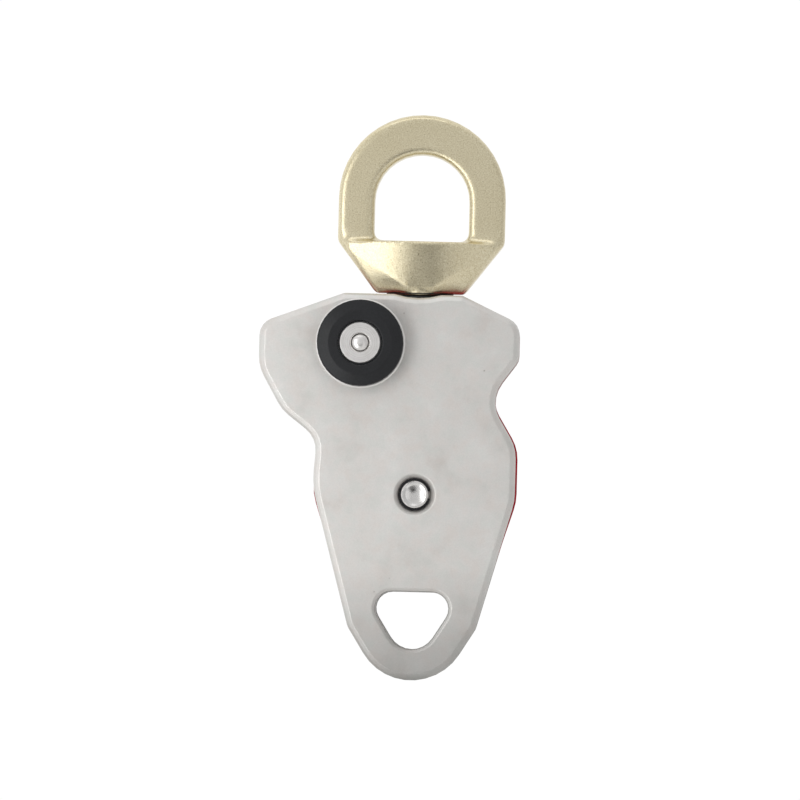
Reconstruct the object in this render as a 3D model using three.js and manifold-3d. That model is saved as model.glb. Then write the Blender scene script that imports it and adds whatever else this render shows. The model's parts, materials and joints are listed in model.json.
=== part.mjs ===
// Swivel rope pulley with a swinging front cheek, locked by a pull knob with a push-button release.
// Millimetres, +Z up. X runs across the cheeks, -Y is the knob side (front), +Y the closed side (rear).
// The whole block is drawn about its main axle, then lowered so that the origin lies on the crown
// of the swivel eye's opening, where the block hangs.
import * as THREE from 'three';
import { mergeVertices } from 'three/addons/utils/BufferGeometryUtils.js';
import { ConvexGeometry } from 'three/addons/geometries/ConvexGeometry.js';
import Module from 'manifold-3d';

const wasm = await Module();
wasm.setup();

// ---- Driving dimensions, measured from the main axle ----

// Positions along Y of the stack of flat pieces
const FRONT_FACE = -13.8;
const FRONT_INNER = -9.8;
const CORE_FRONT = -9.5;
const BACK_WALL = 9.5;
const CORE_REAR = 12;
const REAR_FACE = 16;

// Cheek plates: corners as [x, z, fillet radius], clockwise seen from the front
const CHEEK_CORNERS = [
  [-25.2, 66.7, 3], [-8.3, 66.7, 2.2], [-0.5, 64.5, 27], [7.3, 66.7, 2.2], [14.4, 66.7, 2.1],
  [33.7, 57.7, 6], [33.7, 45.7, 5], [23.9, 32.3, 11], [33.4, 16.5, 14], [33.4, -1.5, 20],
  [21.3, -44.5, 6], [0, -78.6, 18.7], [-21.3, -44.5, 6], [-34.2, 2.2, 30], [-33.1, 18.1, 9],
  [-45, 27.2, 14], [-53.1, 41.5, 14], [-53.1, 56.1, 6],
];
const BEVEL_INSETS = [1.9, 0.6, 0];
const BEVEL_DEPTHS = [0, 0.65, 1.5];

// Lower eye: circles as [x, z, radius], joined by tangents
const LOWER_EYE = [[-6.7, -38, 5.5], [6.7, -38, 5.5], [0, -43.2, 8.4]];
const LOWER_EYE_CHAMFER = 1.2;

// Red centre body: outline, the arch over the sheave and the ends of its thick part
const CORE_CORNERS = [
  [-24, 63.4, 3], [13.4, 63.4, 2], [31.9, 55.6, 5], [31.9, 46.4, 6], [24.3, 32.4, 10.6],
  [33.9, 16.6, 14], [33.9, -1.5, 18], [25.5, -28, 13], [-25.5, -28, 13], [-34.4, 0, 18],
  [-33.4, 18.4, 9], [-43.6, 28.6, 13], [-51, 42, 12], [-51, 55.2, 6],
];
const CORE_TOP = 63.4;
const ARCH_R = 39.4;
const THICK_LEFT = -13.5;
const THICK_BOTTOM = 34;

// Becket block round the lower eye
const BECKET_CORNERS = [[-25, -29, 3], [25, -29, 3], [20.7, -44.4, 6], [0, -77.8, 18.3], [-20.7, -44.4, 6]];

// Countersunk screws as [x, z, length under the rear face]
const CORE_SCREWS = [[26, 53, 15], [-10.5, 58.6, 9], [14.5, 45, 13]];
const BECKET_SCREWS = [[-17.6, -33.5, 16], [17.6, -33.5, 16]];
const SCREW_R = 2;
const SCREW_HEAD_R = 4.1;
const SCREW_HEAD_DEPTH = 2.1;
const SCREW_CLEARANCE = 0.12;
const FLUSH_GAP = 0.15;

// Sheave and its ball bearing
const SHEAVE_R = 26;
const TREAD_R = 19;
const SHEAVE_HALF = 8.8;
const GROOVE_R = 8;
const BEARING_BORE_R = 6.06;
const BEARING_OUTER_R = 14;
const BEARING_HALF = 4;
const BALL_R = 2.38;
const BALL_PITCH_R = 10.1;
const BALL_COUNT = 9;

// Main axle
const AXLE_R = 6;
const JOURNAL_R = 4.55;
const AXLE_HEAD_R = 8.5;
const AXLE_END = -14.1;

// Lock: knob, plunger and button on one line along Y
const LOCK_X = -19.3;
const LOCK_Z = 50;
const HOUSING_HOLE_R = 9;
const NOSE_R = 5.2;
const LOCK_BALL_R = 1.35;
const LOCK_BALL_Y = -7;
const LOCK_BALL_REACH = 4.45;
const POST_R = 7.9;

// Swivel eye
const EYE_HALF_WIDTH = 27.9;
const EYE_TOP = 127;
const EYE_SHOULDER = 84.3;
const EYE_FOOT = 67.4;
const EYE_FOOT_HALF = 14.9;
const OPENING_HALF = 15.8;
const OPENING_TOP = 113.7;
const OPENING_BOTTOM = 84.8;
const EYE_HALF_DEPTH = 6.5;
const EYE_ROUND_INSETS = [1.9, 0.95, 0.25, 0];
const EYE_ROUND_DEPTHS = [0, 0.25, 0.95, 1.9];
const STEM_R = 6;
const STEM_END = 43.5;
const NUT_BOTTOM = 44.6;
const NUT_TOP = 51;

// ---- Materials ----

const finish = (color, roughness, metalness) =>
  new THREE.MeshStandardMaterial({ color, roughness, metalness });
const TUMBLED_STEEL = finish(0xc8c5c0, 0.45, 0.9);
const POLISHED_STEEL = finish(0xd6d4d2, 0.2, 1);
const RED_ANODISED = finish(0xb02a3a, 0.35, 0.8);
const CHAMPAGNE_GOLD = finish(0xc8bd98, 0.4, 0.9);
const BLACK_POLYMER = finish(0x2d2f34, 0.55, 0);
const BRONZE = finish(0xa8783c, 0.4, 0.9);
const SPRING_STEEL = finish(0x9a9a9c, 0.35, 1);
const HARD_ANODISED = finish(0x8c8f94, 0.4, 0.8);

// ---- Outlines: lists of { x, z, nx, nz }, clockwise seen from the front, with outward normals ----

// Steps round an arc, so that its chords stay close to it
const CHORD_ERROR = 0.08;
const arcSteps = (radius, turn) => Math.max(2, Math.ceil(Math.abs(turn) / (2 * Math.acos(1 - CHORD_ERROR / radius))));

function roundedOutline(corners) {
  const points = [];
  corners.forEach(([x, z, radius], i) => {
    const [ax, az] = corners[(i + corners.length - 1) % corners.length];
    const [bx, bz] = corners[(i + 1) % corners.length];
    const into = new THREE.Vector2(x - ax, z - az).normalize();
    const out = new THREE.Vector2(bx - x, bz - z).normalize();
    const turn = Math.atan2(into.x * out.y - into.y * out.x, into.dot(out));
    const tangent = radius * Math.tan(Math.abs(turn) / 2);
    const side = Math.sign(turn);
    const cx = x - into.x * tangent - side * into.y * radius;
    const cz = z - into.y * tangent + side * into.x * radius;
    const steps = arcSteps(radius, turn);
    for (let k = 0; k <= steps; k++) {
      const angle = Math.atan2(into.x, -into.y) + (turn * k) / steps;
      const nx = Math.cos(angle);
      const nz = Math.sin(angle);
      points.push({ x: cx - side * radius * nx, z: cz - side * radius * nz, nx, nz });
    }
  });
  return points.filter((p, i) => {
    const q = points[(i + 1) % points.length];
    return Math.hypot(p.x - q.x, p.z - q.z) > 1e-3;
  });
}

// Each circle starts at an angle of its own, because the triangulation drops points that line up
function circleOutline(x, z, radius, segments) {
  return Array.from({ length: segments }, (_, i) => {
    const angle = 0.3 + 0.05 * x - (2 * Math.PI * i) / segments;
    const nx = Math.cos(angle);
    const nz = Math.sin(angle);
    return { x: x + radius * nx, z: z + radius * nz, nx, nz };
  });
}

// Outline round a clockwise list of circles, joined by their outer tangents
function circlesOutline(circles) {
  const tangentAngle = ([ax, az, ar], [bx, bz, br]) => {
    const along = Math.atan2(bz - az, bx - ax);
    return along + Math.acos((ar - br) / Math.hypot(bx - ax, bz - az));
  };
  return circles.flatMap((circle, i) => {
    const [x, z, radius] = circle;
    const from = tangentAngle(circles[(i + circles.length - 1) % circles.length], circle);
    const to = tangentAngle(circle, circles[(i + 1) % circles.length]);
    const turn = ((from - to) % (2 * Math.PI) + 2 * Math.PI) % (2 * Math.PI);
    const steps = arcSteps(radius, turn);
    return Array.from({ length: steps + 1 }, (_, k) => {
      const angle = from - (turn * k) / steps;
      const nx = Math.cos(angle);
      const nz = Math.sin(angle);
      return { x: x + radius * nx, z: z + radius * nz, nx, nz };
    });
  });
}

// A plate built up in layers along Y. Each layer has a place, and each outline its own offset there:
// the rim's offsets shrink it, a hole's offsets widen it.
function layeredPlate(places, rim, rimInsets, holes) {
  const rings = [{ outline: rim, offsets: rimInsets.map((inset) => -inset), side: 1 }];
  for (const hole of holes) rings.push({ outline: hole.outline, offsets: hole.offsets, side: -1 });
  const perLayer = rings.reduce((sum, ring) => sum + ring.outline.length, 0);
  const positions = [];
  const indices = [];
  places.forEach((y, layer) => {
    for (const { outline, offsets } of rings) {
      for (const p of outline) {
        positions.push(p.x + p.nx * offsets[layer], y, p.z + p.nz * offsets[layer]);
      }
    }
  });
  const face = (a, b, c, flip) => indices.push(...(flip ? [a, c, b] : [a, b, c]));
  for (let layer = 0; layer + 1 < places.length; layer++) {
    let start = layer * perLayer;
    for (const { outline, side } of rings) {
      outline.forEach((_, i) => {
        const a = start + i;
        const b = start + ((i + 1) % outline.length);
        face(a, b, b + perLayer, side < 0);
        face(a, b + perLayer, a + perLayer, side < 0);
      });
      start += outline.length;
    }
  }
  for (const layer of [0, places.length - 1]) {
    const flat = rings.map(({ outline, offsets }) => outline.map((p) =>
      new THREE.Vector2(p.x + p.nx * offsets[layer], p.z + p.nz * offsets[layer])));
    const all = flat.flat();
    const triangles = THREE.ShapeUtils.triangulateShape(flat[0], flat.slice(1));
    const area = triangles.reduce((sum, corners) => sum + THREE.ShapeUtils.area(corners.map((i) => all[i])), 0);
    const base = layer * perLayer;
    for (const [a, b, c] of triangles) face(base + a, base + b, base + c, (area > 0) !== (layer === 0));
  }
  const geometry = new THREE.BufferGeometry();
  geometry.setAttribute('position', new THREE.Float32BufferAttribute(positions, 3));
  geometry.setIndex(indices);
  return geometry;
}

const same = (count, value) => new Array(count).fill(value);
const plainPlate = (outline, from, to, holes = []) => layeredPlate([from, to], outline, [0, 0],
  holes.map((hole) => ({ outline: hole, offsets: [0, 0] })));

// ---- Round pieces and booleans ----

// Profile of [radius, place] turned about the Y axis; closed pieces repeat their first point
function turnedY(profile, segments = 32) {
  const points = profile.map(([radius, y]) => new THREE.Vector2(radius, y));
  return closedLathe(points, segments);
}

function turnedZ(profile, segments = 32) {
  return turnedY(profile, segments).rotateX(Math.PI / 2);
}

function closedLathe(points, segments) {
  const area = points.reduce((sum, p, i) => {
    const q = points[(i + 1) % points.length];
    return sum + p.x * q.y - q.x * p.y;
  }, 0);
  return new THREE.LatheGeometry(area > 0 ? points : points.reverse(), segments);
}

const loop = (profile) => [...profile, profile[0]];
const washer = (inner, outer, from, to) =>
  loop([[inner, from], [outer, from], [outer, to], [inner, to]]);

function rodY(radius, from, to, segments = 32) {
  return new THREE.CylinderGeometry(radius, radius, to - from, segments).translate(0, (from + to) / 2, 0);
}

function rodZ(radius, from, to, segments = 32) {
  return new THREE.CylinderGeometry(radius, radius, to - from, segments)
    .rotateX(Math.PI / 2).translate(0, 0, (from + to) / 2);
}

function block(x0, x1, y0, y1, z0, z1) {
  return new THREE.BoxGeometry(x1 - x0, y1 - y0, z1 - z0)
    .translate((x0 + x1) / 2, (y0 + y1) / 2, (z0 + z1) / 2);
}

function cleaned(geometry) {
  const bare = geometry.clone();
  bare.deleteAttribute('normal');
  bare.deleteAttribute('uv');
  const merged = mergeVertices(bare, 1e-4);
  const kept = [];
  for (let i = 0; i < merged.index.count; i += 3) {
    const [a, b, c] = [0, 1, 2].map((k) => merged.index.getX(i + k));
    if (a !== b && b !== c && c !== a) kept.push(a, b, c);
  }
  merged.setIndex(kept);
  return merged;
}

function solid(geometry) {
  const merged = cleaned(geometry);
  return new wasm.Manifold(new wasm.Mesh({
    numProp: 3,
    vertProperties: Float32Array.from(merged.attributes.position.array),
    triVerts: Uint32Array.from(merged.index.array),
  }));
}

function surface(manifold) {
  const mesh = manifold.getMesh();
  const geometry = new THREE.BufferGeometry();
  geometry.setAttribute('position', new THREE.BufferAttribute(mesh.vertProperties, 3));
  geometry.setIndex(new THREE.BufferAttribute(mesh.triVerts, 1));
  return geometry;
}

const cut = (geometry, ...cutters) =>
  surface(cutters.reduce((body, cutter) => body.subtract(solid(cutter)), solid(geometry)));
const joined = (...pieces) =>
  surface(pieces.slice(1).reduce((body, piece) => body.add(solid(piece)), solid(pieces[0])));

function helixSpring(meanRadius, wireRadius, from, to, turns) {
  class Helix extends THREE.Curve {
    getPoint(t, target = new THREE.Vector3()) {
      const angle = t * turns * 2 * Math.PI;
      return target.set(meanRadius * Math.cos(angle), from + (to - from) * t, meanRadius * Math.sin(angle));
    }
  }
  const section = new THREE.Shape();
  section.absarc(0, 0, wireRadius, 0, 2 * Math.PI);
  return new THREE.ExtrudeGeometry(section, {
    steps: Math.round(turns * 10), extrudePath: new Helix(), curveSegments: 3, bevelEnabled: false,
  });
}

// Open ring, like a snap ring, lying across the Y axis
function openRing(inner, outer, from, to, gapAngle) {
  const shape = new THREE.Shape();
  shape.absarc(0, 0, outer, gapAngle / 2, 2 * Math.PI - gapAngle / 2, false);
  shape.absarc(0, 0, inner, 2 * Math.PI - gapAngle / 2, gapAngle / 2, true);
  return new THREE.ExtrudeGeometry(shape, { depth: to - from, curveSegments: 16, bevelEnabled: false })
    .rotateX(-Math.PI / 2).translate(0, from, 0);
}

// ---- Scene graph ----

const pulley = new THREE.Group();
pulley.position.z = -OPENING_TOP;

function place(name, geometry, material, x = 0, z = 0) {
  const mesh = new THREE.Mesh(cleaned(geometry), material);
  mesh.name = name;
  mesh.position.set(x, 0, z);
  pulley.add(mesh);
}

// ---- Cheek plates ----

const cheekOutline = roundedOutline(CHEEK_CORNERS);
const lowerEyeOutline = circlesOutline(LOWER_EYE);

function frontPlate() {
  const places = [...BEVEL_DEPTHS.map((depth) => FRONT_FACE + depth), -11.8, -11.5, FRONT_INNER];
  const insets = [...BEVEL_INSETS, 0, 0, 0];
  const journalHoleR = 4.75;
  const recessRadii = [7, 6.2, 5.4, 5.4, journalHoleR, journalHoleR];
  const eyeOffsets = [LOWER_EYE_CHAMFER, 0.2, 0, 0, 0, 0];
  return layeredPlate(places, cheekOutline, insets, [
    { outline: lowerEyeOutline, offsets: eyeOffsets },
    { outline: circleOutline(0, 0, journalHoleR, 28), offsets: recessRadii.map((r) => r - journalHoleR) },
    { outline: circleOutline(LOCK_X, LOCK_Z, HOUSING_HOLE_R, 32), offsets: same(places.length, 0) },
  ]);
}

function rearPlate() {
  const bevelPlaces = BEVEL_DEPTHS.map((depth) => REAR_FACE - depth).reverse();
  const places = [CORE_REAR, 13.75, 14, ...bevelPlaces];
  const insets = [0, 0, 0, ...[...BEVEL_INSETS].reverse()];
  const eyeOffsets = [0, 0, 0, 0, 0.2, LOWER_EYE_CHAMFER];
  const axleHoleR = AXLE_R + 0.1;
  const headPocket = AXLE_HEAD_R + 0.25 - axleHoleR;
  const screwHoleR = SCREW_R + SCREW_CLEARANCE;
  const headCone = places.map((y) => Math.max(0, y - (REAR_FACE - SCREW_HEAD_DEPTH - FLUSH_GAP)));
  const screws = [...CORE_SCREWS, ...BECKET_SCREWS, [LOCK_X, LOCK_Z]];
  return layeredPlate(places, cheekOutline, insets, [
    { outline: lowerEyeOutline, offsets: eyeOffsets },
    { outline: circleOutline(0, 0, axleHoleR, 28), offsets: places.map((y) => (y < 13.9 ? 0 : headPocket)) },
    ...screws.map(([x, z]) => ({ outline: circleOutline(x, z, screwHoleR, 14), offsets: headCone })),
  ]);
}

// ---- Centre body and becket block, both fixed to the rear plate ----

function coreBody() {
  const holes = [circleOutline(0, 0, AXLE_R + 0.3, 28)];
  for (const [x, z] of [...CORE_SCREWS, [LOCK_X, LOCK_Z]]) holes.push(circleOutline(x, z, SCREW_R + 0.3, 12));
  const slab = plainPlate(roundedOutline(CORE_CORNERS), CORE_FRONT, CORE_REAR, holes);
  const ahead = CORE_FRONT - 1;
  return cut(slab,
    rodY(ARCH_R, ahead, BACK_WALL, 60),
    rodY(POST_R + 0.3, ahead, BACK_WALL, 28).translate(LOCK_X, 0, LOCK_Z),
    block(-60, THICK_LEFT, ahead, BACK_WALL, -60, 80),
    block(-60, 60, ahead, BACK_WALL, -60, THICK_BOTTOM),
    rodZ(7.7, 40, CORE_TOP + 1, 24),
    rodZ(8.4, 30, 52.9, 24));
}

function becketBlock() {
  const wider = lowerEyeOutline.map((p) => ({ ...p, x: p.x + 0.3 * p.nx, z: p.z + 0.3 * p.nz }));
  const holes = [wider];
  for (const [x, z] of BECKET_SCREWS) holes.push(circleOutline(x, z, SCREW_R + 0.3, 12));
  const places = [CORE_FRONT, CORE_FRONT + 0.6, CORE_REAR];
  return layeredPlate(places, roundedOutline(BECKET_CORNERS), [0.6, 0, 0],
    holes.map((outline, i) => ({ outline, offsets: [i === 0 ? 0.6 : 0, 0, 0] })));
}

function countersunkScrew(length) {
  const top = REAR_FACE - FLUSH_GAP;
  const body = turnedY([
    [0, top], [SCREW_HEAD_R, top], [SCREW_R, top - SCREW_HEAD_DEPTH],
    [SCREW_R, top - length + 0.5], [SCREW_R - 0.5, top - length], [0, top - length],
  ], 16);
  return cut(body, rodY(1.45, top - 1.7, top + 1, 6));
}

// ---- Sheave, ball bearing and axle ----

function arcProfile(radius, centreR, halfAngle, outwardSign, steps) {
  return Array.from({ length: steps + 1 }, (_, i) => {
    const angle = -halfAngle + (2 * halfAngle * i) / steps;
    return [centreR + outwardSign * radius * Math.cos(angle), radius * Math.sin(angle)];
  });
}

function sheaveBody() {
  const half = SHEAVE_HALF;
  const rim = SHEAVE_R;
  const grooveHalfAngle = 1.38;
  const bore = BEARING_OUTER_R + 0.15;
  return turnedY(loop([
    [rim - 0.5, -half], [rim, -half + 0.4],
    ...arcProfile(GROOVE_R, TREAD_R + GROOVE_R, grooveHalfAngle, -1, 8),
    [rim, half - 0.4], [rim - 0.5, half],
    [12.6, half], [12.6, 4.3], [bore, 4.3], [bore, -4.3], [14.9, -4.3], [14.9, -5.7], [bore, -5.7],
    [bore, -half],
  ]), 44);
}

const RACE_R = BALL_R + 0.1;
const raceArc = (outwardSign) => arcProfile(RACE_R, BALL_PITCH_R, 0.72, outwardSign, 4);
const innerRing = () => turnedY(loop([[BEARING_BORE_R, -BEARING_HALF], [8.2, -BEARING_HALF],
  ...raceArc(-1), [8.2, BEARING_HALF], [BEARING_BORE_R, BEARING_HALF]]), 28);
const outerRing = () => turnedY(loop([[BEARING_OUTER_R, -BEARING_HALF], [12.9, -BEARING_HALF],
  [12.9, -3.3], [12, -3.3], ...raceArc(1), [12, 3.3], [12.9, 3.3], [12.9, BEARING_HALF],
  [BEARING_OUTER_R, BEARING_HALF]]), 32);

const ballAngle = (i) => (2 * Math.PI * i) / BALL_COUNT;

function bearingCage() {
  const pockets = Array.from({ length: BALL_COUNT }, (_, i) =>
    rodZ(BALL_R + 0.15, 7, 13, 12).rotateY(Math.PI / 2 - ballAngle(i)));
  return cut(turnedY(washer(9.3, 10.9, -3.1, 3.1), 36), ...pockets);
}

function axleBody() {
  const top = REAR_FACE - FLUSH_GAP;
  const shoulder = FRONT_INNER + 0.1;
  const body = turnedY([
    [0, top], [AXLE_HEAD_R - 0.4, top], [AXLE_HEAD_R, top - 0.4], [AXLE_HEAD_R, 14], [AXLE_R, 14],
    [AXLE_R, shoulder], [JOURNAL_R, shoulder], [JOURNAL_R, -12.05], [4.05, -12.05], [4.05, -12.95],
    [JOURNAL_R, -12.95], [JOURNAL_R, AXLE_END + 0.35], [4.2, AXLE_END], [3.9, AXLE_END],
    [3.1, AXLE_END + 0.35], [2, AXLE_END + 0.6], [0.9, AXLE_END + 0.73], [0, AXLE_END + 0.75],
  ], 28);
  return cut(body, rodY(3.46, top - 3, top + 1, 6));
}

// ---- Lock ----

const lockHousing = () => turnedY(loop([
  [4.4, -21.4], [8.1, -21.4], [8.6, -20.9], [8.6, -14.6], [14.6, -14.6], [15, -14.3],
  [15, -13.85], [8.85, -13.85], [8.85, -10.1], [7, -10.1], [7, -20.2], [4.4, -20.2],
]), 36);

const lockKnob = () => turnedY(loop([
  [9, -14.9], [13.9, -14.9], [14.4, -15.4], [14.4, -22.2], [14.1, -22.55], [10.7, -23.6],
  [7.7, -23.6], [7.4, -23.3], [7.4, -22.75], [9, -22.75],
]), 44);

function lockPin() {
  const body = turnedY(loop([
    [3.45, -23.35], [6.63, -23.35], [6.93, -23.05], [6.93, -22.6], [8.8, -22.6], [8.8, -21.75],
    [4.1, -21.75], [4.1, -11.6], [6.6, -11.6], [6.6, -10.35], [NOSE_R, -10.35], [NOSE_R, -4.8],
    [NOSE_R - 0.6, -4.2], [3.1, -4.2], [3.1, -11.2], [1.7, -11.2], [1.7, -19.4], [3.05, -19.4],
    [3.05, -22.95],
  ]), 24);
  return cut(body, rodZ(LOCK_BALL_R + 0.12, -8, 8, 12).translate(0, LOCK_BALL_Y, 0));
}

const releaseButton = () => turnedY([
  [0, -24.05], [1.1, -23.97], [2, -23.7], [2.6, -23.25], [2.9, -22.7], [2.9, -21.9], [0, -21.9],
], 24);

const releaseStem = () => turnedY([
  [0, -21.85], [1.5, -21.85], [1.5, -10.4], [2.2, -10.4], [2.2, -9.1], [2.8, -7.3], [2.8, -6.4],
  [2.5, -6.1], [0, -6.1],
], 16);

const receiverPost = () => turnedY(loop([
  [6.5, CORE_FRONT], [7.5, CORE_FRONT], [POST_R, CORE_FRONT + 0.4], [POST_R, BACK_WALL],
  [SCREW_R + SCREW_CLEARANCE, BACK_WALL], [SCREW_R + SCREW_CLEARANCE, -1.5], [6.1, -1.5],
  [6.1, CORE_FRONT + 0.4],
]), 28);

// ---- Swivel eye ----

// Half depth of the eye's base at a place across and up it: bowed across like a well rounded
// ridge, and leaning in downwards
const BASE_TOP = OPENING_BOTTOM - 0.2;
const BASE_DEPTH = 11.8;
const RIDGE_R = 15;
const ROOF_SLOPE = 0.3;
const LEAN = 0.16;
const baseDepth = (x, z) =>
  BASE_DEPTH - ROOF_SLOPE * (Math.hypot(x, RIDGE_R) - RIDGE_R) - LEAN * (BASE_TOP - z);
const BASE_TOP_PLACES = [0, 2, 4, 6.5, 9.5, 13, 17, 21.5, 25.8];
// Crease between the bowed face and the flat under it, as [x, z]
const CREASE = [[24.2, 81], [19.6, 78.5], [15.4, 76.1], [11.2, 73.7], [7.6, 71.5], [4.3, 69.2]];
// Corners of the foot, as [x, half depth]
const FOOT_CORNERS = [[4.2, 8.4], [14.4, 6]];

function eyeBase() {
  const points = [];
  const addBothFaces = (x, depth, z) => {
    for (const sx of [-1, 1]) {
      for (const sy of [-1, 1]) points.push(new THREE.Vector3(sx * x, sy * depth, z));
    }
  };
  for (const x of BASE_TOP_PLACES) addBothFaces(x, baseDepth(x, BASE_TOP), BASE_TOP);
  for (const [x, z] of CREASE) addBothFaces(x, baseDepth(x, z), z);
  for (const [x, depth] of FOOT_CORNERS) addBothFaces(x, depth, EYE_FOOT);
  return new ConvexGeometry(points);
}

function eyeRing() {
  const outline = roundedOutline([
    [-EYE_HALF_WIDTH, EYE_TOP, EYE_HALF_WIDTH], [EYE_HALF_WIDTH, EYE_TOP, EYE_HALF_WIDTH],
    [EYE_HALF_WIDTH, EYE_SHOULDER, 3], [EYE_FOOT_HALF, EYE_FOOT, 2.2],
    [-EYE_FOOT_HALF, EYE_FOOT, 2.2], [-EYE_HALF_WIDTH, EYE_SHOULDER, 3],
  ]);
  const opening = roundedOutline([
    [-OPENING_HALF, OPENING_TOP, OPENING_HALF], [OPENING_HALF, OPENING_TOP, OPENING_HALF],
    [OPENING_HALF, OPENING_BOTTOM, 2.8], [-OPENING_HALF, OPENING_BOTTOM, 2.8],
  ]);
  const front = EYE_ROUND_DEPTHS.map((depth) => -EYE_HALF_DEPTH + depth);
  const places = [...front, ...front.map((y) => -y).reverse()];
  const offsets = [...EYE_ROUND_INSETS, ...[...EYE_ROUND_INSETS].reverse()];
  return layeredPlate(places, outline, offsets, [{ outline: opening, offsets }]);
}

function swivelEye() {
  const neck = turnedZ([[0, 70], [9, 70], [9, 66.5], [STEM_R, 66.5], [STEM_R, STEM_END + 0.5],
    [STEM_R - 0.5, STEM_END], [0, STEM_END]], 28);
  return cut(joined(eyeRing(), eyeBase(), neck), pinHole());
}

const pinHole = () => rodZ(1.35, -12, 12, 12).rotateY(Math.PI / 2).translate(0, 0, 47.8);
const swivelNut = () => cut(rodZ(7.9, NUT_BOTTOM, NUT_TOP, 6), rodZ(STEM_R + 0.15, 40, 55, 24), pinHole());
const nutPin = () => rodZ(1.2, -6.6, 6.6, 12).rotateY(Math.PI / 2).translate(0, 0, 47.8);

// ---- Assembly ----

place('swivel_eye', swivelEye(), CHAMPAGNE_GOLD);
place('swivel_nut', swivelNut(), POLISHED_STEEL);
place('swivel_nut_pin', nutPin(), SPRING_STEEL);
place('swivel_washer', turnedZ(washer(6.15, 9.2, 65.1, 66.4), 24), BLACK_POLYMER);
place('thrust_washer_upper', turnedZ(washer(6.3, 9.2, 63.5, 64.9), 24), BRONZE);
place('thrust_washer_lower', turnedZ(washer(6.2, 8.1, 51.2, 52.7), 24), BRONZE);
place('swivel_bush', turnedZ(washer(6.15, 7.5, 53, 63.2), 24), BRONZE);

place('front_plate', frontPlate(), TUMBLED_STEEL);
place('rear_plate', rearPlate(), TUMBLED_STEEL);
place('core_body', coreBody(), RED_ANODISED);
place('becket_block', becketBlock(), TUMBLED_STEEL);
CORE_SCREWS.forEach(([x, z, length], i) =>
  place(`core_screw_${i + 1}`, countersunkScrew(length), POLISHED_STEEL, x, z));
BECKET_SCREWS.forEach(([x, z, length], i) =>
  place(`becket_screw_${i + 1}`, countersunkScrew(length), POLISHED_STEEL, x, z));

place('axle', axleBody(), POLISHED_STEEL);
place('axle_snap_ring', openRing(4.1, 5.25, -12.85, -12.15, 0.5), SPRING_STEEL);
place('cheek_washer', turnedY(washer(6.1, 10.5, -9.65, -9.05), 24), BLACK_POLYMER);
place('axle_spacer_front', turnedY(washer(6.1, 8.2, -8.95, -4.05), 24), POLISHED_STEEL);
place('axle_spacer_rear', turnedY(washer(6.1, 8.2, 4.05, 9.4), 24), POLISHED_STEEL);

place('sheave', sheaveBody(), HARD_ANODISED);
place('bearing_outer_ring', outerRing(), POLISHED_STEEL);
place('bearing_inner_ring', innerRing(), POLISHED_STEEL);
place('bearing_shield_front', turnedY(washer(8.5, 12.75, -3.85, -3.45), 24), POLISHED_STEEL);
place('bearing_shield_rear', turnedY(washer(8.5, 12.75, 3.45, 3.85), 24), POLISHED_STEEL);
place('bearing_snap_ring', openRing(12.9, 14.75, -5.5, -4.5, 0.5), SPRING_STEEL);
place('bearing_cage', bearingCage(), BRONZE);
for (let i = 0; i < BALL_COUNT; i++) {
  place(`bearing_ball_${i + 1}`, new THREE.SphereGeometry(BALL_R, 10, 6), POLISHED_STEEL,
    BALL_PITCH_R * Math.cos(ballAngle(i)), BALL_PITCH_R * Math.sin(ballAngle(i)));
}

place('lock_housing', lockHousing(), POLISHED_STEEL, LOCK_X, LOCK_Z);
place('lock_spring', helixSpring(5.55, 0.45, -19.6, -12.2, 3.5), SPRING_STEEL, LOCK_X, LOCK_Z);
place('lock_pin', lockPin(), POLISHED_STEEL, LOCK_X, LOCK_Z);
place('lock_knob', lockKnob(), BLACK_POLYMER, LOCK_X, LOCK_Z);
place('release_button', releaseButton(), POLISHED_STEEL, LOCK_X, LOCK_Z);
place('release_stem', releaseStem(), POLISHED_STEEL, LOCK_X, LOCK_Z);
place('button_spring', helixSpring(2.3, 0.2, -21.6, -19.7, 3), SPRING_STEEL, LOCK_X, LOCK_Z);
for (const [name, side] of [['lock_ball_upper', 1], ['lock_ball_lower', -1]]) {
  place(name, new THREE.SphereGeometry(LOCK_BALL_R, 10, 6).translate(0, LOCK_BALL_Y, 0), POLISHED_STEEL,
    LOCK_X, LOCK_Z + side * LOCK_BALL_REACH);
}
place('lock_receiver', receiverPost(), POLISHED_STEEL, LOCK_X, LOCK_Z);
place('receiver_screw', countersunkScrew(13.5), POLISHED_STEEL, LOCK_X, LOCK_Z);

export default pulley;
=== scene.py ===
import json
import math

import bmesh
import bpy
import numpy as np
from mathutils import Matrix, Vector

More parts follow.
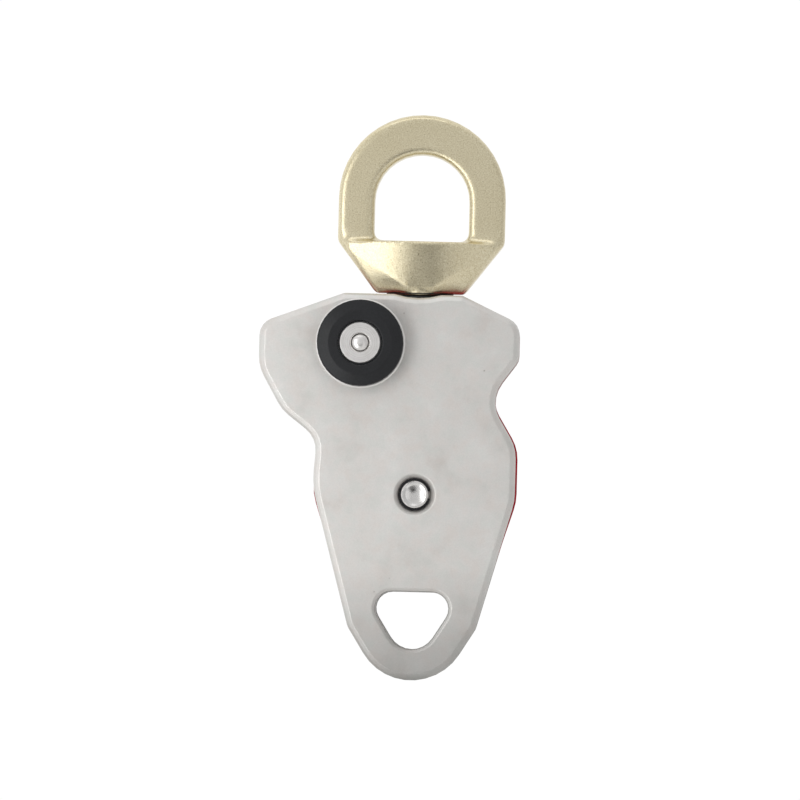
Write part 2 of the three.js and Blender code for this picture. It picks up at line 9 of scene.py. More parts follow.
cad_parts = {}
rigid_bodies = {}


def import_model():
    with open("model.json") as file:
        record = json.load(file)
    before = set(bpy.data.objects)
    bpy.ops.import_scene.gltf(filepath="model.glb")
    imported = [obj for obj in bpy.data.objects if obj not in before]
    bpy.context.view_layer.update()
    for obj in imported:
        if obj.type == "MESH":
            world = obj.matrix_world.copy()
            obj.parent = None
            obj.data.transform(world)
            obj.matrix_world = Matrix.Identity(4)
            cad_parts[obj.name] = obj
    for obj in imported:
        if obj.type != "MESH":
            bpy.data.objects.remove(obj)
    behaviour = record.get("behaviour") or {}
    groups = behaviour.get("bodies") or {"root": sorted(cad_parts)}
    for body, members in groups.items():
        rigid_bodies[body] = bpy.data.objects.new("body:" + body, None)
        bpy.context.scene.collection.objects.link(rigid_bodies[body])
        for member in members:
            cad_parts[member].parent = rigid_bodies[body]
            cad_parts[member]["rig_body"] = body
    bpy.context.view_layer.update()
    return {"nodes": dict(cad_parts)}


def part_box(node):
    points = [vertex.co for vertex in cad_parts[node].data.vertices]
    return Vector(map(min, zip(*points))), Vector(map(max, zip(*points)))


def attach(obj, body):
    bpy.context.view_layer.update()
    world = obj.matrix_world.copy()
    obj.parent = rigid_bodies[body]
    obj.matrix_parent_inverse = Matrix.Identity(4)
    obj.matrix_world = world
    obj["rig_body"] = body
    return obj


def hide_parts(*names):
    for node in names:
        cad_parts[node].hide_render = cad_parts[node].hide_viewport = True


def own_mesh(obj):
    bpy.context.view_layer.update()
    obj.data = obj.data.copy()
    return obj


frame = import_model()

NODES = frame["nodes"]


def middle(node):
    low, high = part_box(node)
    return (low + high) / 2


AXLE = middle("axle")
LOCK = middle("lock_pin")
PLATE_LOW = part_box("front_plate")[0]


# ---- Camera, lights and floor ----

CAMERA_DISTANCE = 4.0
CAMERA_AZIMUTH = math.radians(0.9)
CAMERA_ELEVATION = math.radians(-1.05)
CAMERA_ROLL = math.radians(1.45)
SENSOR_WIDTH = 36
SIGHT_RANGE = 30
FRAME_WIDTH = 0.2667
AXLE_RIGHT_OF_CENTRE = 0.00483
AXLE_BELOW_CENTRE = 0.0315
FLOOR_BELOW_PLATE = 0.30
FLOOR_RADIUS = 0.8

# The world's brightness straight in front, behind, to the left and to the right, each with the part
# of the way across the sky over which it fades
FRONT_SHADE, BACK_SHADE, FRONT_TO_BACK = 0.70, 1.02, (-1, 0.4)
LEFT_SHADE, LEFT_TO_MIDDLE = 1.1, (-1, 0)
RIGHT_SHADE, MIDDLE_TO_RIGHT = 0.75, (0.1, 1)

# The dark shape in the world: where it is, how dark, and the cosines at its edge and at its core
DARK_TOWARD = (0.11, -0.95, -0.32)
DARK_SHADE = 0.0
DARK_EDGE = math.cos(math.radians(16))
DARK_CORE = math.cos(math.radians(7))

# Area lights as name, place from the axle, size in metres and power in watts
LIGHTS = [
    ("left_near", (-0.16, -0.26, -0.02), (0.12, 0.36), 0.27),
    ("right_near", (0.13, -0.30, -0.06), (0.12, 0.3), 0.03),
    ("top_softbox", (-0.1, -0.5, 0.8), (0.7, 0.3), 0.6),
]


def make_camera():
    """A long lens, almost square to the front cheek, rolled a little."""
    back = Vector((
        math.sin(CAMERA_AZIMUTH) * math.cos(CAMERA_ELEVATION),
        -math.cos(CAMERA_AZIMUTH) * math.cos(CAMERA_ELEVATION),
        math.sin(CAMERA_ELEVATION),
    ))
    level_right = Vector((0, 0, 1)).cross(back).normalized()
    level_up = back.cross(level_right)
    right = level_right * math.cos(CAMERA_ROLL) + level_up * math.sin(CAMERA_ROLL)
    up = level_up * math.cos(CAMERA_ROLL) - level_right * math.sin(CAMERA_ROLL)
    axle_end = Vector((AXLE.x, PLATE_LOW.y, AXLE.z))
    target = axle_end - right * AXLE_RIGHT_OF_CENTRE + up * AXLE_BELOW_CENTRE
    data = bpy.data.cameras.new("camera")
    data.sensor_width = SENSOR_WIDTH
    data.lens = SENSOR_WIDTH * CAMERA_DISTANCE / FRAME_WIDTH
    data.clip_end = SIGHT_RANGE
    camera = bpy.data.objects.new("camera", data)
    bpy.context.scene.collection.objects.link(camera)
    rotation = Matrix((right, up, back)).transposed().to_4x4()
    camera.matrix_world = Matrix.Translation(target + back * CAMERA_DISTANCE) @ rotation
    bpy.context.scene.camera = camera


def area_light(name, place, aim, size, power):
    """A soft rectangular light, out of the camera's sight, turned towards aim."""
    data = bpy.data.lights.new(name, "AREA")
    data.shape = "RECTANGLE"
    data.size, data.size_y = size
    data.energy = power
    light = bpy.data.objects.new(name, data)
    bpy.context.scene.collection.objects.link(light)
    light.location = place
    light.visible_camera = False
    light.rotation_euler = (Vector(aim) - Vector(place)).to_track_quat("-Z", "Y").to_euler()


def make_world():
    """A white tent round the object, greyer on the camera's side and to the right, with the dark
    shape of the camera low in front."""
    world = bpy.data.worlds.new("studio")
    bpy.context.scene.world = world
    world.use_nodes = True
    tree = world.node_tree
    tree.nodes.clear()
    direction = tree.nodes.new("ShaderNodeTexCoord").outputs["Generated"]
    split = tree.nodes.new("ShaderNodeSeparateXYZ")
    tree.links.new(direction, split.inputs[0])
    toward = tree.nodes.new("ShaderNodeVectorMath")
    toward.operation = "DOT_PRODUCT"
    toward.inputs[1].default_value = Vector(DARK_TOWARD).normalized()
    tree.links.new(direction, toward.inputs[0])
    shades = [
        map_range(tree, split.outputs["Y"], FRONT_SHADE, BACK_SHADE, *FRONT_TO_BACK, smooth=True),
        map_range(tree, split.outputs["X"], LEFT_SHADE, 1, *LEFT_TO_MIDDLE, smooth=True),
        map_range(tree, split.outputs["X"], 1, RIGHT_SHADE, *MIDDLE_TO_RIGHT, smooth=True),
        map_range(tree, toward.outputs["Value"], 1, DARK_SHADE, DARK_EDGE, DARK_CORE, smooth=True),
    ]
    total = shades[0]
    for shade in shades[1:]:
        product = tree.nodes.new("ShaderNodeMath")
        product.operation = "MULTIPLY"
        tree.links.new(total, product.inputs[0])
        tree.links.new(shade, product.inputs[1])
        total = product.outputs[0]
    background = tree.nodes.new("ShaderNodeBackground")
    output = tree.nodes.new("ShaderNodeOutputWorld")
    tree.links.new(total, background.inputs["Color"])
    background.inputs["Strength"].default_value = 1.0
    tree.links.new(background.outputs[0], output.inputs[0])


def make_stage():
    """The lights round the axle's height, and a round floor under the object."""
    centre = Vector((0, 0, AXLE.z))
    for name, place, size, power in LIGHTS:
        area_light(name, centre + Vector(place), centre, size, power)
    bpy.ops.mesh.primitive_circle_add(vertices=96, radius=FLOOR_RADIUS, fill_type="NGON",
                                      location=(0, 0, PLATE_LOW.z - FLOOR_BELOW_PLATE))
    floor = bpy.context.object
    floor.name = "floor"
    floor.data.materials.append(pale_floor())


# ---- Materials ----

def new_material(name):
    material = bpy.data.materials.new(name)
    material.use_nodes = True
    tree = material.node_tree
    return material, tree, tree.nodes["Principled BSDF"]


def texture(tree, kind, **values):
    """A texture node over the object's own space, with its values by the names of their sockets."""
    node = tree.nodes.new(kind)
    place = tree.nodes.new("ShaderNodeTexCoord").outputs["Object"]
    tree.links.new(place, node.inputs["Vector"])
    for key, value in values.items():
        node.inputs[key].default_value = value
    return node


def ramp_color(tree, source, stops):
    """Colours along a ramp, each stop as (place, (red, green, blue))."""
    ramp = tree.nodes.new("ShaderNodeValToRGB")
    elements = ramp.color_ramp.elements
    while len(elements) < len(stops):
        elements.new(0.5)
    for element, (position, color) in zip(elements, stops):
        element.position = position
        element.color = (*color, 1)
    tree.links.new(source, ramp.inputs["Fac"])
    return ramp.outputs["Color"]


def map_range(tree, source, low, high, from_low=0.0, from_high=1.0, smooth=False):
    """A value that goes from low to high as source goes from from_low to from_high."""
    remap = tree.nodes.new("ShaderNodeMapRange")
    remap.interpolation_type = "SMOOTHSTEP" if smooth else "LINEAR"
    for key, value in (("From Min", from_low), ("From Max", from_high), ("To Min", low), ("To Max", high)):
        remap.inputs[key].default_value = value
    tree.links.new(source, remap.inputs["Value"])
    return remap.outputs["Result"]


# The colour sockets of a mix node, by their places among all its sockets
MIX_FACTOR, MIX_FIRST, MIX_SECOND, MIX_RESULT = 0, 6, 7, 2


def multiply(tree, factor, first, second):
    """The first colour darkened by the second, as far as factor says."""
    mix = tree.nodes.new("ShaderNodeMix")
    mix.data_type = "RGBA"
    mix.blend_type = "MULTIPLY"
    mix.inputs[MIX_FACTOR].default_value = factor
    tree.links.new(first, mix.inputs[MIX_FIRST])
    tree.links.new(second, mix.inputs[MIX_SECOND])
    return mix.outputs[MIX_RESULT]


def add_bump(tree, shader, layers):
    """Bump from several heights, each as (height, distance in metres, strength)."""
    normal = None
    for height, distance, strength in layers:
        bump = tree.nodes.new("ShaderNodeBump")
        bump.inputs["Strength"].default_value = strength
        bump.inputs["Distance"].default_value = distance
        tree.links.new(height, bump.inputs["Height"])
        if normal is not None:
            tree.links.new(normal, bump.inputs["Normal"])
        normal = bump.outputs["Normal"]
    tree.links.new(normal, shader.inputs["Normal"])


def pale_floor():
    material, tree, shader = new_material("pale_floor")
    noise = texture(tree, "ShaderNodeTexNoise", Scale=8, Detail=3)
    color = ramp_color(tree, noise.outputs["Fac"], [(0.3, (0.84, 0.84, 0.83)), (0.7, (0.88, 0.88, 0.87))])
    tree.links.new(color, shader.inputs["Base Color"])
    shader.inputs["Roughness"].default_value = 0.7
    return material


# How high up the plate the painted shade at its foot reaches, in metres
FOOT_SHADE_HEIGHT = 0.038


def tumbled_steel():
    """Satin stainless plate, tumbled: cloudy patches, a fine pebbled skin, a few small pits, and painted
    shade that darkens the plate towards its foot."""
    material, tree, shader = new_material("tumbled_steel")
    clouds = texture(tree, "ShaderNodeTexNoise", Scale=70, Detail=4, Roughness=0.55)
    color = ramp_color(tree, clouds.outputs["Fac"], [
        (0.28, (0.625, 0.605, 0.58)), (0.46, (0.69, 0.672, 0.648)), (0.58, (0.70, 0.684, 0.662)),
        (0.74, (0.745, 0.73, 0.71)),
    ])
    tint = texture(tree, "ShaderNodeTexNoise", Scale=210, Detail=2)
    tints = ramp_color(tree, tint.outputs["Fac"], [
        (0.35, (0.93, 0.98, 0.97)), (0.5, (1, 1, 1)), (0.66, (1, 0.95, 0.93))])
    color = multiply(tree, 0.4, color, tints)
    grain = texture(tree, "ShaderNodeTexNoise", Scale=1900, Detail=2)
    grains = ramp_color(tree, grain.outputs["Fac"], [(0.3, (0.9, 0.9, 0.9)), (0.7, (1, 1, 1))])
    color = multiply(tree, 0.5, color, grains)
    pits = texture(tree, "ShaderNodeTexVoronoi", Scale=85)
    pit = ramp_color(tree, pits.outputs["Distance"], [(0.0, (0.35, 0.33, 0.3)), (0.035, (1, 1, 1))])
    color = multiply(tree, 0.8, color, pit)
    place = tree.nodes.new("ShaderNodeSeparateXYZ")
    tree.links.new(tree.nodes.new("ShaderNodeTexCoord").outputs["Object"], place.inputs[0])
    height = map_range(tree, place.outputs["Z"], 0, 1, PLATE_LOW.z, PLATE_LOW.z + FOOT_SHADE_HEIGHT)
    # Painted shade: the base colour darkens towards the plate's foot
    foot = ramp_color(tree, height, [
        (0.0, (0.46, 0.46, 0.46)), (0.06, (0.62, 0.62, 0.62)), (1.0, (1, 1, 1))])
    color = multiply(tree, 1.0, color, foot)
    tree.links.new(color, shader.inputs["Base Color"])
    patches = texture(tree, "ShaderNodeTexNoise", Scale=260, Detail=4, Roughness=0.6)
    tree.links.new(map_range(tree, patches.outputs["Fac"], 0.42, 0.56), shader.inputs["Roughness"])
    shader.inputs["Metallic"].default_value = 0.9
    add_bump(tree, shader, [
        (clouds.outputs["Fac"], 0.0004, 0.25), (grain.outputs["Fac"], 0.00002, 0.5)])
    return material


def champagne_gold():
    """Anodised aluminium, bead blasted to a fine even grain."""
    material, tree, shader = new_material("champagne_gold")
    grain = texture(tree, "ShaderNodeTexNoise", Scale=2300, Detail=2, Roughness=0.6)
    color = ramp_color(tree, grain.outputs["Fac"], [
        (0.32, (0.60, 0.525, 0.345)), (0.5, (0.73, 0.655, 0.46)), (0.68, (0.83, 0.77, 0.585))])
    drift = texture(tree, "ShaderNodeTexNoise", Scale=60, Detail=2)
    drifts = ramp_color(tree, drift.outputs["Fac"], [(0.3, (0.94, 0.93, 0.9)), (0.7, (1, 1, 1))])
    color = multiply(tree, 0.8, color, drifts)
    tree.links.new(color, shader.inputs["Base Color"])
    shader.inputs["Metallic"].default_value = 0.95
    tree.links.new(map_range(tree, grain.outputs["Fac"], 0.24, 0.36), shader.inputs["Roughness"])
    beads = texture(tree, "ShaderNodeTexVoronoi", Scale=2100)
    add_bump(tree, shader, [(beads.outputs["Distance"], 0.00005, 0.45)])
    return material


def turned_metal(name, centre, axis, color, roughness, metallic=1.0, pitch=0.00022):
    """Metal turned on a lathe about a line through centre: fine rings, brighter and duller in turn."""
    material, tree, shader = new_material(name)
    coordinates = tree.nodes.new("ShaderNodeTexCoord")
    offset = tree.nodes.new("ShaderNodeVectorMath")
    offset.operation = "SUBTRACT"
    offset.inputs[1].default_value = centre
    tree.links.new(coordinates.outputs["Object"], offset.inputs[0])
    flatten = tree.nodes.new("ShaderNodeVectorMath")
    flatten.operation = "MULTIPLY"
    flatten.inputs[1].default_value = [0 if i == axis else 1 for i in range(3)]
    tree.links.new(offset.outputs[0], flatten.inputs[0])
    length = tree.nodes.new("ShaderNodeVectorMath")
    length.operation = "LENGTH"
    tree.links.new(flatten.outputs[0], length.inputs[0])
    along = tree.nodes.new("ShaderNodeSeparateXYZ")
    tree.links.new(offset.outputs[0], along.inputs[0])
    total = tree.nodes.new("ShaderNodeMath")
    total.operation = "ADD"
    tree.links.new(length.outputs["Value"], total.inputs[0])
    tree.links.new(along.outputs[axis], total.inputs[1])
    rings = tree.nodes.new("ShaderNodeTexNoise")
    rings.noise_dimensions = "1D"
    rings.inputs["Scale"].default_value = 1 / pitch
    rings.inputs["Detail"].default_value = 2
    tree.links.new(total.outputs[0], rings.inputs["W"])
    light = [min(1, c * 1.07) for c in color]
    dark = [c * 0.88 for c in color]
    shades = ramp_color(tree, rings.outputs["Fac"], [(0.3, dark), (0.7, light)])
    stains = texture(tree, "ShaderNodeTexNoise", Scale=420, Detail=3)
    stain = ramp_color(tree, stains.outputs["Fac"], [(0.3, (0.86, 0.85, 0.84)), (0.6, (1, 1, 1))])
    tree.links.new(multiply(tree, 0.5, shades, stain), shader.inputs["Base Color"])
    rough = map_range(tree, rings.outputs["Fac"], roughness * 0.8, roughness * 1.2)
    tree.links.new(rough, shader.inputs["Roughness"])
    shader.inputs["Metallic"].default_value = metallic
    add_bump(tree, shader, [(rings.outputs["Fac"], 0.000005, 1.0)])
    return material


def red_anodised():
    """Milled aluminium, anodised red: faint cutter lines and a slightly uneven dye."""
    material, tree, shader = new_material("red_anodised")
    dye = texture(tree, "ShaderNodeTexNoise", Scale=140, Detail=4)
    color = ramp_color(tree, dye.outputs["Fac"], [
        (0.3, (0.40, 0.010, 0.022)), (0.55, (0.50, 0.018, 0.035)), (0.75, (0.56, 0.03, 0.05))])
    tree.links.new(color, shader.inputs["Base Color"])
    fine = texture(tree, "ShaderNodeTexNoise", Scale=1500, Detail=2)
    tree.links.new(map_range(tree, fine.outputs["Fac"], 0.28, 0.42), shader.inputs["Roughness"])
    shader.inputs["Metallic"].default_value = 0.85
    lines = texture(tree, "ShaderNodeTexWave", Scale=420, Distortion=1.2, Detail=2)
    add_bump(tree, shader, [(lines.outputs["Fac"], 0.000006, 0.6), (fine.outputs["Fac"], 0.00001, 0.4)])
    return material


def black_polymer():
    """Matte black moulding with a fine spark-eroded skin."""
    material, tree, shader = new_material("black_polymer")
    skin = texture(tree, "ShaderNodeTexNoise", Scale=1700, Detail=2)
    rubs = texture(tree, "ShaderNodeTexNoise", Scale=160, Detail=4)
    color = ramp_color(tree, skin.outputs["Fac"], [
        (0.35, (0.0050, 0.0056, 0.0070)), (0.65, (0.0085, 0.0094, 0.0115))])
    rub = ramp_color(tree, rubs.outputs["Fac"], [(0.4, (0.85, 0.85, 0.85)), (0.75, (1.25, 1.25, 1.25))])
    tree.links.new(multiply(tree, 1.0, color, rub), shader.inputs["Base Color"])
    tree.links.new(map_range(tree, rubs.outputs["Fac"], 0.34, 0.48), shader.inputs["Roughness"])
    shader.inputs["Specular IOR Level"].default_value = 0.36
    add_bump(tree, shader, [(skin.outputs["Fac"], 0.00002, 0.5)])
    return material


def drawn_metal(name, color, roughness):
    """Plain bright metal, a little uneven."""
    material, tree, shader = new_material(name)
    noise = texture(tree, "ShaderNodeTexNoise", Scale=1200, Detail=3)
    shades = ramp_color(tree, noise.outputs["Fac"], [
        (0.35, [c * 0.85 for c in color]), (0.65, [min(1, c * 1.1) for c in color])])
    tree.links.new(shades, shader.inputs["Base Color"])
    rough = map_range(tree, noise.outputs["Fac"], roughness * 0.75, roughness * 1.25)
    tree.links.new(rough, shader.inputs["Roughness"])
    shader.inputs["Metallic"].default_value = 1.0
    add_bump(tree, shader, [(noise.outputs["Fac"], 0.000006, 0.5)])
    return material


# ---- Pieces ----

WELD_DISTANCE = 0.000004
FLAT_ANGLE = 0.5
SAME_CIRCLE = 0.00001


def body_of(node):
    return NODES[node]["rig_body"]


def welded_copy(node, name):
    """A new object with the CAD node's mesh, its shared corners joined and flat areas made whole."""
    mesh = NODES[node].data.copy()
    mesh.materials.clear()
    obj = bpy.data.objects.new(name, mesh)
    bpy.context.scene.collection.objects.link(obj)
    work = bmesh.new()
    work.from_mesh(mesh)
    bmesh.ops.remove_doubles(work, verts=work.verts, dist=WELD_DISTANCE)
    bmesh.ops.dissolve_limit(work, angle_limit=math.radians(FLAT_ANGLE), verts=work.verts,
                             edges=work.edges)
    work.to_mesh(mesh)
    work.free()
    return obj


def settle(obj, node, material):
    """Gives a finished piece its material and body, in place of its CAD node."""
    obj.data.materials.clear()
    obj.data.materials.append(material)
    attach(obj, body_of(node))
    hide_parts(node)


def runs_round(edge, centre):
    """Whether an edge lies along a circle about the line through centre that runs along Y."""
    first, last = (Vector((v.co.x - centre.x, v.co.z - centre.z)) for v in edge.verts)
    level = abs(edge.verts[0].co.y - edge.verts[1].co.y) < SAME_CIRCLE
    return level and abs(first.length - last.length) < SAME_CIRCLE


# Edges that bend by more than this are broken, in degrees: those of all pieces, and those round turned ones
SHARP_EDGE = 24
BLUNT_TURNED_EDGE = 7
NORMAL_WEIGHT = 80


def machined(node, material, width, segments=2, angle=SHARP_EDGE, turned_about=None):
    """A copy of a CAD node with its edges broken, as after deburring: those that bend by more than
    angle, in degrees. On a turned piece the blunter edges that run round it are broken too."""
    obj = welded_copy(node, node + "_finished")
    work = bmesh.new()
    work.from_mesh(obj.data)
    limit, turned_limit = math.radians(angle), math.radians(BLUNT_TURNED_EDGE)
    edges = []
    for edge in work.edges:
        if len(edge.link_faces) == 2:
            bend = edge.calc_face_angle(0)
            if bend > limit or (turned_about and bend > turned_limit and runs_round(edge, turned_about)):
                edges.append(edge)
    bmesh.ops.bevel(work, geom=edges, offset=width, offset_type="OFFSET", segments=segments,
                    profile=0.5, affect="EDGES", clamp_overlap=True)
    for face in work.faces:
        face.smooth = True
    work.to_mesh(obj.data)
    work.free()
    normals = obj.modifiers.new("normals", "WEIGHTED_NORMAL")
    normals.weight = NORMAL_WEIGHT
    settle(obj, node, material)


AXLE_BELOW_ORIGIN = 0.1137
EYE_LEDGE_Z = 0.0846 - AXLE_BELOW_ORIGIN
EYE_VOXEL = 0.00042
ROUNDING = {"rounds": 5, "strength": 0.5}
LEDGE_SMOOTHING = {"rounds": 45, "strength": 0.6}

# The fillet where the eye's ring meets its ledge: its middle over the ledge, how far it fades up and
# down from there, and the depths between which it lies, on both sides of the ring
FILLET_ABOVE_LEDGE = 0.0012
FILLET_FADE = 0.0032
FILLET_NEAR, FILLET_FAR = 0.0052, 0.0085

# The face of the eye's base, which is smoothed from a little below the ledge down to its slanting crease
FACE_BELOW_LEDGE = 0.0015
FACE_DEPTH = 0.0066
CREASE_BELOW_LEDGE = 0.0156
CREASE_SLOPE = 0.61
CREASE_FADE = 0.0015
FADE = 0.001


def remeshed(obj, voxel):
    """Puts an even mesh of small squares in place of an object's mesh."""
    remesh = obj.modifiers.new("remesh", "REMESH")
    remesh.mode = "VOXEL"
    remesh.voxel_size = voxel
    bpy.context.view_layer.update()
    graph = bpy.context.evaluated_depsgraph_get()
    mesh = bpy.data.meshes.new_from_object(obj.evaluated_get(graph))
    obj.modifiers.clear()
    obj.data = mesh
    return mesh


def rows_of(items, attribute, width, kind):
    """An attribute of all the mesh's corners or edges, a row for each."""
    values = np.empty(len(items) * width, kind)
    items.foreach_get(attribute, values)
    return values.reshape(-1, width)


def smoothed(places, ends, rounds, strength, weight=1):
    """Moves the points towards the middle of their neighbours, which are at the ends of the edges."""
    count = len(places)
    degree = np.bincount(ends.ravel(), minlength=count)[:, None]
    for _ in range(rounds):
        total = np.empty_like(places)
        for i in range(3):
            total[:, i] = (np.bincount(ends[:, 0], places[ends[:, 1], i], count)
                           + np.bincount(ends[:, 1], places[ends[:, 0], i], count))
        places = places + strength * weight * (total / degree - places)
    return places


def rise(values, start, width):
    """0 up to start, 1 from start + width on, and a straight line between."""
    return np.clip((values - start) / width, 0, 1)


def ledge_weight(places):
    """1 in the ring's fillet and on the base's face, down to 0 outside them."""
    sideways, depth = np.abs(places[:, 0]), np.abs(places[:, 1])
    above_ledge = places[:, 2] - EYE_LEDGE_Z
    near_ledge = 1 - rise(np.abs(above_ledge - FILLET_ABOVE_LEDGE), 0, FILLET_FADE)
    fillet = near_ledge * rise(depth, FILLET_NEAR, FADE) * (1 - rise(depth, FILLET_FAR, FADE))
    above_crease = above_ledge + CREASE_BELOW_LEDGE - CREASE_SLOPE * sideways
    face = rise(-above_ledge, FACE_BELOW_LEDGE, FADE) * rise(depth, FACE_DEPTH, FADE)
    face = face * rise(above_crease, 0, CREASE_FADE)
    return np.maximum(fillet, face)[:, None]


def forged_eye(material):
    """The swivel eye as a forging: every edge rounded, and a fillet where the ring meets its ledge."""
    obj = welded_copy("swivel_eye", "swivel_eye_forged")
    mesh = remeshed(obj, EYE_VOXEL)
    places = rows_of(mesh.vertices, "co", 3, float)
    ends = rows_of(mesh.edges, "vertices", 2, int)
    places = smoothed(places, ends, **ROUNDING)
    places = smoothed(places, ends, **LEDGE_SMOOTHING, weight=ledge_weight(places))
    mesh.vertices.foreach_set("co", places.ravel())
    for polygon in mesh.polygons:
        polygon.use_smooth = True
    mesh.update()
    settle(obj, "swivel_eye", material)


# The black rings of painted shade in the gaps under the eye's foot and round the knob's disc: radii, the
# pad's half width and depth, and where each starts and ends along its axis. LEAST_SINE keeps the pad's
# radius finite where its outline runs straight to the side
FOOT_SHADE_PAD = {"inner": 0.00905, "half_width": 0.0112, "half_depth": 0.0070, "least_width": 0.0005,
             "low": 0.0670 - AXLE_BELOW_ORIGIN, "high": 0.06736 - AXLE_BELOW_ORIGIN}
KNOB_SHADE_RING = {"inner": 0.00695, "outer": 0.00738, "low": -0.02305, "high": -0.02262}
LEAST_SINE = 0.01


def beaded(inner, outer, low, high, steps=8):
    """A closed (radius, place along the axis) profile with a half-round outer edge."""
    bead = (high - low) / 2
    turns = [math.pi * i / steps for i in range(steps + 1)]
    return [(inner, low), (inner, high)] + [
        (outer - bead + bead * math.sin(a), (low + high) / 2 + bead * math.cos(a)) for a in turns]


def seal(name, body, profile_at, place_at, material, segments=96):
    """A closed ring: profile_at gives its section at an angle, place_at puts a section point in space."""
    mesh = bpy.data.meshes.new(name)
    obj = bpy.data.objects.new(name, mesh)
    bpy.context.scene.collection.objects.link(obj)
    work = bmesh.new()
    rows = []
    for i in range(segments):
        turn = 2 * math.pi * i / segments
        rows.append([work.verts.new(place_at(turn, radius, along)) for radius, along in profile_at(turn)])
    for i in range(segments):
        ahead = rows[(i + 1) % segments]
        for k in range(len(ahead)):
            n = (k + 1) % len(ahead)
            work.faces.new((rows[i][k], ahead[k], ahead[n], rows[i][n])).smooth = True
    bmesh.ops.recalc_face_normals(work, faces=work.faces)
    work.to_mesh(mesh)
    work.free()
    mesh.materials.append(material)
    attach(obj, body)


def foot_shade_pad(material):
    """A flat black pad under the swivel eye's foot, round its neck and wider to the sides: painted shade in
    the gap between the foot and the cheeks.
    """
    pad = FOOT_SHADE_PAD

    def profile_at(turn):
        outer = min(pad["half_width"], pad["half_depth"] / max(abs(math.sin(turn)), LEAST_SINE))
        outer = max(outer, pad["inner"] + pad["least_width"])
        return beaded(pad["inner"], outer, pad["low"], pad["high"])

    def place_at(turn, radius, along):
        return radius * math.cos(turn), radius * math.sin(turn), along

    seal("foot_shade_pad", "swivel", profile_at, place_at, material)


def knob_shade_ring(material):
    """A thin black ring between the knob and the steel disc in it: painted shade in the gap between them.
    """
    ring = KNOB_SHADE_RING

    def profile_at(turn):
        low, high = ring["low"], ring["high"]
        return [(ring["inner"], low), (ring["outer"], low), (ring["outer"], high), (ring["inner"], high)]

    def place_at(turn, radius, along):
        return LOCK.x + radius * math.cos(turn), along, LOCK.z + radius * math.sin(turn)

    seal("knob_shade_ring", body_of("lock_knob"), profile_at, place_at, material)


# The springs as node, joint, the y of the end that stays, and how much of the length is left at the limit
SPRINGS = [("lock_spring", "knob_pull", -0.0202, 0.35), ("button_spring", "button_press", -0.0194, 0.27)]


def spring(node, material):
    """A copy of a CAD spring, smooth shaded, with a mesh of its own."""
    obj = welded_copy(node, node + "_wire")
    for polygon in obj.data.polygons:
        polygon.use_smooth = True
    settle(obj, node, material)
    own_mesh(obj)


def balls(names, material):
    """The balls, made rounder than their CAD facets."""
    for node in names:
        obj = welded_copy(node, node + "_lapped")
        for polygon in obj.data.polygons:
            polygon.use_smooth = True
        smooth = obj.modifiers.new("round", "SUBSURF")
        smooth.levels = smooth.render_levels = 1
        settle(obj, node, material)


STEEL = (0.74, 0.73, 0.72)
BRONZE = (0.55, 0.36, 0.16)
PALE_STEEL = (0.78, 0.765, 0.75)
HARD_GREY = (0.36, 0.365, 0.38)
WIRE = (0.42, 0.42, 0.43)
OXIDE = (0.03, 0.03, 0.033)
SCREW_STEEL = (0.6, 0.6, 0.6)
BALL_STEEL = (0.75, 0.75, 0.76)
ALONG_Y, ALONG_Z = 1, 2


def make_eye_and_plates(tumbled, red, black):
    """What shows most: the eye, the plates and blocks, the knob, and the black rings of painted shade in
    the gaps under the eye and round the knob's disc.
    """
    forged_eye(champagne_gold())
    # A black pad painting shade into the gap under the eye's foot
    foot_shade_pad(black)
    # A black ring painting shade into the gap round the knob's steel disc
    knob_shade_ring(black)
    for node in ("front_plate", "rear_plate"):
        machined(node, tumbled, width=0.00022, segments=3, angle=20)
    machined("becket_block", tumbled, width=0.0004)
    machined("core_body", red, width=0.0004)
    machined("lock_knob", black, width=0.0002, segments=3, turned_about=LOCK)
    machined("cheek_washer", black, width=0.00015)


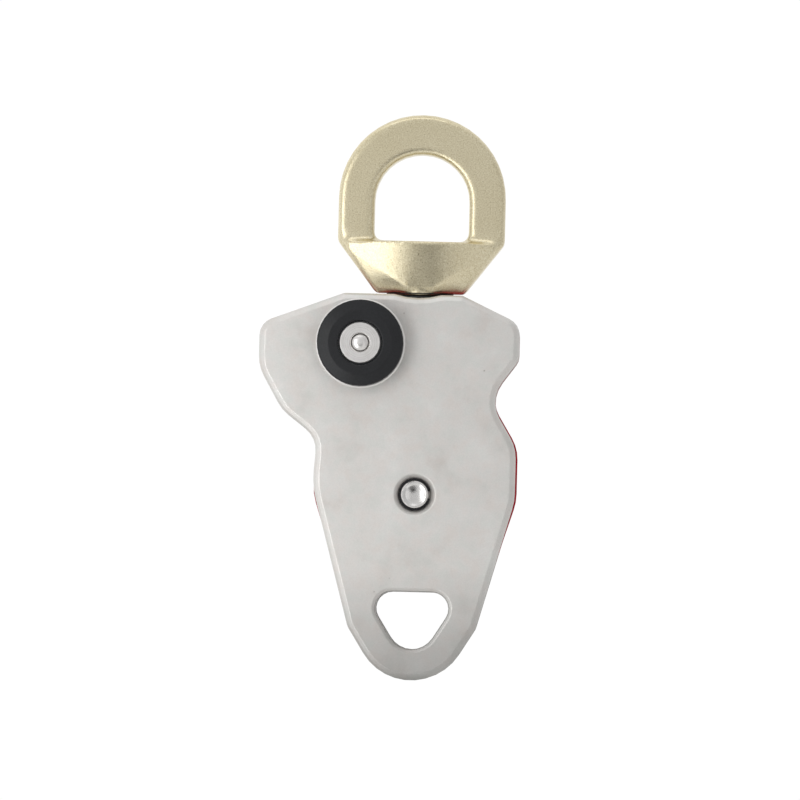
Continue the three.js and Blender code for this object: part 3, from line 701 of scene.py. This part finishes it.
def make_turned_pieces():
    """The lock's, axle's, sheave's and swivel's turned pieces, each with rings about its own axis."""
    lock, axle, swivel = (LOCK.x, 0, LOCK.z), (AXLE.x, 0, AXLE.z), (0, 0, 0)
    lock_steel = turned_metal("lock_steel", lock, ALONG_Y, PALE_STEEL, roughness=0.3)
    axle_steel = turned_metal("axle_steel", axle, ALONG_Y, STEEL, roughness=0.2)
    sheave_skin = turned_metal("hard_anodised", axle, ALONG_Y, HARD_GREY, roughness=0.35, metallic=0.9)
    bearing_bronze = turned_metal("bearing_bronze", axle, ALONG_Y, BRONZE, roughness=0.3)
    swivel_steel = turned_metal("swivel_steel", swivel, ALONG_Z, STEEL, roughness=0.25)
    swivel_bronze = turned_metal("swivel_bronze", swivel, ALONG_Z, BRONZE, roughness=0.3)
    machined("sheave", sheave_skin, width=0.0003)
    for node in ("lock_pin", "lock_housing", "lock_receiver", "release_button", "release_stem"):
        machined(node, lock_steel, width=0.00008, turned_about=LOCK)
    for node in ("axle", "axle_spacer_front", "axle_spacer_rear", "bearing_inner_ring",
                 "bearing_outer_ring", "bearing_shield_front", "bearing_shield_rear"):
        machined(node, axle_steel, width=0.00012, turned_about=AXLE)
    machined("bearing_cage", bearing_bronze, width=0.0001)
    for node in ("swivel_bush", "thrust_washer_upper", "thrust_washer_lower"):
        machined(node, swivel_bronze, width=0.00012)
    machined("swivel_nut", swivel_steel, width=0.00015)


def make_small_parts(black):
    """The washer, snap rings, screws, springs and balls."""
    wire = drawn_metal("spring_steel", WIRE, roughness=0.32)
    oxide = drawn_metal("black_oxide", OXIDE, roughness=0.4)
    screw = drawn_metal("screw_steel", SCREW_STEEL, roughness=0.3)
    ball = drawn_metal("ball_steel", BALL_STEEL, roughness=0.12)
    # The swivel washer is black: painted shade in the gap under the eye's foot
    machined("swivel_washer", black, width=0.00015)
    machined("axle_snap_ring", oxide, width=0.0001)
    for node in ("bearing_snap_ring", "swivel_nut_pin"):
        machined(node, wire, width=0.0001)
    for node in [n for n in NODES if "screw" in n]:
        machined(node, screw, width=0.00012)
    for node, joint, anchor_y, keep in SPRINGS:
        spring(node, wire)
    balls([n for n in NODES if "_ball_" in n], ball)


def make_pieces():
    black = black_polymer()
    make_eye_and_plates(tumbled_steel(), red_anodised(), black)
    make_turned_pieces()
    make_small_parts(black)


make_camera()
make_world()
make_stage()
make_pieces()
bpy.context.scene.view_settings.view_transform = "Standard"
